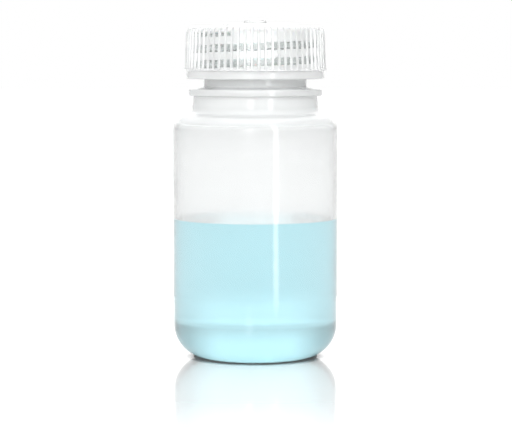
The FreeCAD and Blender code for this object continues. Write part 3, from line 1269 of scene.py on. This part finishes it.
@dataclass(frozen=True)
class Surroundings:
    """White all round that dims to the sides, in front and at the horizon.

    A direction's parts across, along and up run from -1 to 1. Behind the bottle the
    tone goes from white through side to flag by the part across, at the four stops,
    and in front it is even. It is then dimmed at the horizon and raised higher up.
    What the camera sees of it is plain white.
    """

    white: float = 1.65
    side: float = 0.86
    flag: float = 0.72
    front: float = 0.7
    side_tint: float = 1.01
    front_tint: float = 1.02
    horizon: float = 0.66
    above: float = 1.22
    stops: tuple[float, float, float, float] = (0.24, 0.55, 0.86, 0.92)
    behind: tuple[float, float] = (-0.5, -0.2)
    low: tuple[float, float] = (0.0, 0.12)
    high: tuple[float, float] = (0.15, 0.6)

    def build(self) -> None:
        """Make the world's colour and strength."""
        world = bpy.data.worlds.new("surroundings")
        bpy.context.scene.world = world
        world.use_nodes = True
        bench = NodeBench(world.node_tree)
        camera = bench.add("ShaderNodeLightPath").outputs["Is Camera Ray"]
        way = bench.split(Space.DIRECTION)

        across = bench.add("ShaderNodeMath", operation="ABSOLUTE")
        bench.feed(across.inputs[0], way["X"])
        side = grey(self.side, self.side_tint)
        tones = (grey(self.white), side, side, grey(self.flag))
        sides = bench.ramp(across.outputs[0], tuple(zip(self.stops, tones)))
        behind = bench.ranged(way["Y"], self.behind)
        tone = bench.blend(Blend.COLOUR, behind, grey(self.front, self.front_tint), sides)

        strength = bench.add("ShaderNodeMath", operation="MULTIPLY")
        bench.feed(strength.inputs[0], bench.ranged(way["Z"], self.high, (1.0, self.above)))
        bench.feed(strength.inputs[1], bench.ranged(way["Z"], self.low, (self.horizon, 1.0)))
        back = bench.nodes["Background"].inputs
        bench.feed(back["Color"], bench.blend(Blend.COLOUR, camera, tone, grey(1.0)))
        bench.feed(back["Strength"], bench.blend(Blend.VALUE, camera, strength.outputs[0], 1.0))


@dataclass
class Studio:
    """White surroundings and floor, soft lights, one tall strip light and the camera."""

    camera_place: Vector = (0.2, -697.7, 98.0)
    camera_tilt: float = math.radians(4.37)
    camera_near: float = 10.0
    lens: float = 157.5
    floor_half: float = 4000.0
    floor_tone: float = 0.22
    floor_roughness: float = 0.05
    floor_refraction: float = 1.45
    # painted contact shadow: the glow drops nearly to black in a ring round the foot (15.5 to 20.3 mm);
    # painted light: a bright glowing disc under the base (to 13.5 mm)
    floor_glow_painted_contact_shadow_and_light: Stops = (
        (0.0, 0.9),
        (13.5, 0.9),
        (15.5, 0.04),
        (20.3, 0.04),
        (22.5, 0.35),
        (90.0, 0.44),
        (160.0, 0.72),
        (260.0, 0.82),
    )
    floor_gloss: Stops = (
        (0.0, 0.0),
        (19.5, 0.0),
        (22.5, 0.5),
        (60.0, 0.5),
        (100.0, 0.35),
        (170.0, 0.0),
    )
    strip_turn: float = math.radians(26.6)
    strip_reach: float = 165.0
    strip_height: float = 170.0
    lamps: tuple[Lamp, ...] = (
        Lamp(
            name="overhead",
            place=(0.0, 100.0, 1100.0),
            target=(0.0, 0.0, 0.0),
            size=(1000.0, 1000.0),
            power=6.0,
        ),
        Lamp(
            name="front",
            place=(-100.0, -900.0, 250.0),
            target=(0.0, 0.0, 90.0),
            size=(500.0, 400.0),
            power=4.4,
            hidden_from=(Ray.GLOSSY, Ray.TRANSMISSION),
        ),
        Lamp(
            name="patch",
            place=(-120.0, -790.0, 230.0),
            target=(0.0, 0.0, 90.0),
            size=(110.0, 320.0),
            power=0.45,
        ),
        Lamp(
            name="base_glow",
            place=(0.0, 0.0, 0.1),
            target=(0.0, 0.0, 10.0),
            size=(19.0, 19.0),
            power=0.0022,
            hidden_from=(Ray.GLOSSY,),
        ),
    )
    cap_lamp: Lamp = Lamp(
        name="cap_front",
        place=(0.0, -330.0, 121.0),
        target=(0.0, 0.0, 95.0),
        size=(400.0, 60.0),
        power=0.42,
        hidden_from=(Ray.TRANSMISSION,),
    )

    def floor(self) -> None:
        """A large floor, level with the bottle's foot.

        Its glow is painted light and shade. A painted contact shadow is a dark ring round the
        foot's edge, where the line of contact is seen, and the gloss is taken away there. Under
        the base a bright disc glows up into the bottle as painted light. Further out the glow
        rises as the gloss fades outwards, and so does the bottle's reflection.
        """
        half = self.floor_half * MM
        mesh = bpy.data.meshes.new("floor")
        corners = [(-half, -half, 0.0), (half, -half, 0.0), (half, half, 0.0), (-half, half, 0.0)]
        mesh.from_pydata(corners, [], [(0, 1, 2, 3)])
        made = bpy.data.objects.new("floor", mesh)
        bpy.context.scene.collection.objects.link(made)
        bench = FinishBench("floor_sheet")
        bench.shade(
            Base_Color=grey(self.floor_tone),
            Roughness=self.floor_roughness,
            IOR=self.floor_refraction,
            Emission_Color=grey(1.0),
            # painted contact shadow round the foot and painted glow under the base, by distance from
            # the axis
            Emission_Strength=bench.by_reach(self.floor_glow_painted_contact_shadow_and_light),
            Specular_IOR_Level=bench.by_reach(self.floor_gloss),
        )
        coat(made, bench.material)

    def strip(self) -> Lamp:
        """The tall strip light whose reflection runs down the bottle's right side.

        Returns:
            The light, which is seen only in gloss.
        """
        across, along = math.sin(self.strip_turn), -math.cos(self.strip_turn)
        return Lamp(
            name="strip",
            place=(self.strip_reach * across, self.strip_reach * along, self.strip_height),
            target=(0.0, 0.0, self.strip_height),
            size=(16.0, 330.0),
            power=0.15,
            hidden_from=(Ray.DIFFUSE, Ray.TRANSMISSION),
        )

    def camera(self) -> None:
        """The long-lens camera, level with the cap and tilted down a little."""
        data = bpy.data.cameras.new("camera")
        data.lens = self.lens
        data.clip_start = self.camera_near * MM
        camera = bpy.data.objects.new("camera", data)
        camera.location = [value * MM for value in self.camera_place]
        camera.rotation_euler = (math.pi / 2 - self.camera_tilt, 0.0, 0.0)
        bpy.context.scene.collection.objects.link(camera)
        bpy.context.scene.camera = camera

    def build(self, pieces: list[bpy.types.Object], cap: bpy.types.Object) -> None:
        """Set up the whole studio.

        Args:
            pieces: what the strip light shines on.
            cap: what the cap's own light shines on.
        """
        self.floor()
        Surroundings().build()
        self.strip().hang(tuple(pieces))
        self.cap_lamp.hang((cap,))
        for lamp in self.lamps:
            lamp.hang()
        self.camera()
        bpy.context.scene.view_settings.view_transform = "Standard"


# ------------------------------------------------------------------ main
def main() -> None:
    """Build every piece in order, from the bottle outwards, and the studio."""
    low, high = (np.array(corner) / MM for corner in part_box("bottle_body"))
    cap_low, cap_high = (np.array(corner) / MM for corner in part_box("screw_cap"))
    liner_low, liner_high = (np.array(corner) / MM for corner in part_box("cap_liner"))
    liquid_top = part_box("reagent_liquid")[1][2] / MM

    moulding = TranslucentPlastic(
        name="bottle_plastic",
        light=(0.955, 0.96, 0.96),
        dark=(0.925, 0.935, 0.935),
        clearness=(
            (0.0, 0.96),
            (16.0, 0.95),
            (62.0, 0.95),
            (71.0, 0.86),
            (75.0, 0.6),
            (79.0, 0.5),
            (86.5, 0.5),
            (88.5, 0.94),
            (101.0, 0.94),
        ),
        roughness=0.14,
        grain=Grain.POLISHED,
    )
    cap_plastic = TranslucentPlastic(
        name="cap_plastic",
        light=(0.92, 0.925, 0.925),
        dark=(0.885, 0.89, 0.89),
        clearness=((86.9, 0.62), (103.0, 0.62)),
        roughness=0.12,
        grain=Grain.SATIN,
    )
    window = TranslucentPlastic(
        name="cap_window",
        light=(0.94, 0.97, 0.96),
        dark=(0.90, 0.94, 0.93),
        clearness=((86.9, 0.93), (103.0, 0.93)),
        roughness=0.07,
        grain=Grain.SATIN,
    )
    contents = ClearLiquid(
        name="reagent", colour=(0.735, 0.905, 0.955), depth_colour=(0.0, 0.88, 0.98), depth_strength=8.0
    )
    foam = Foam(name="liner_foam", light=(0.93, 0.93, 0.92), dark=(0.82, 0.82, 0.80))

    bottle = BottleBody(finish=moulding, barrel_radius=(high[0] - low[0]) / 2, lip_top=high[2])
    liquid = Liquid(finish=contents, bottle=bottle, level=liquid_top)
    liner = Liner(
        finish=foam,
        radius=(liner_high[0] - liner_low[0]) / 2,
        bottom=liner_low[2],
        top=liner_high[2],
    )
    cap = ScrewCap(
        finish=cap_plastic,
        window=window,
        bottle=bottle,
        bottom=cap_low[2],
        ceiling=liner_high[2],
        boss_top=cap_high[2],
    )

    pieces = []
    for part, node, body, slot in (
        (bottle, "bottle_body", "bottle", "bottle_plastic"),
        (liquid, "reagent_liquid", "bottle", "reagent"),
        (liner, "cap_liner", "liner", "liner_foam"),
        (cap, "screw_cap", "cap", "cap_plastic"),
    ):
        piece = part.build()
        part.dress(piece)
        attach(piece, body)
        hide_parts(node)
        pieces.append(piece)
        triangles = sum(len(face.vertices) - 2 for face in piece.data.polygons)
        log.info("%s: %d triangles", piece.name, triangles)
    Studio().build(pieces, cap=pieces[-1])


if __name__ == "__main__":
    main()
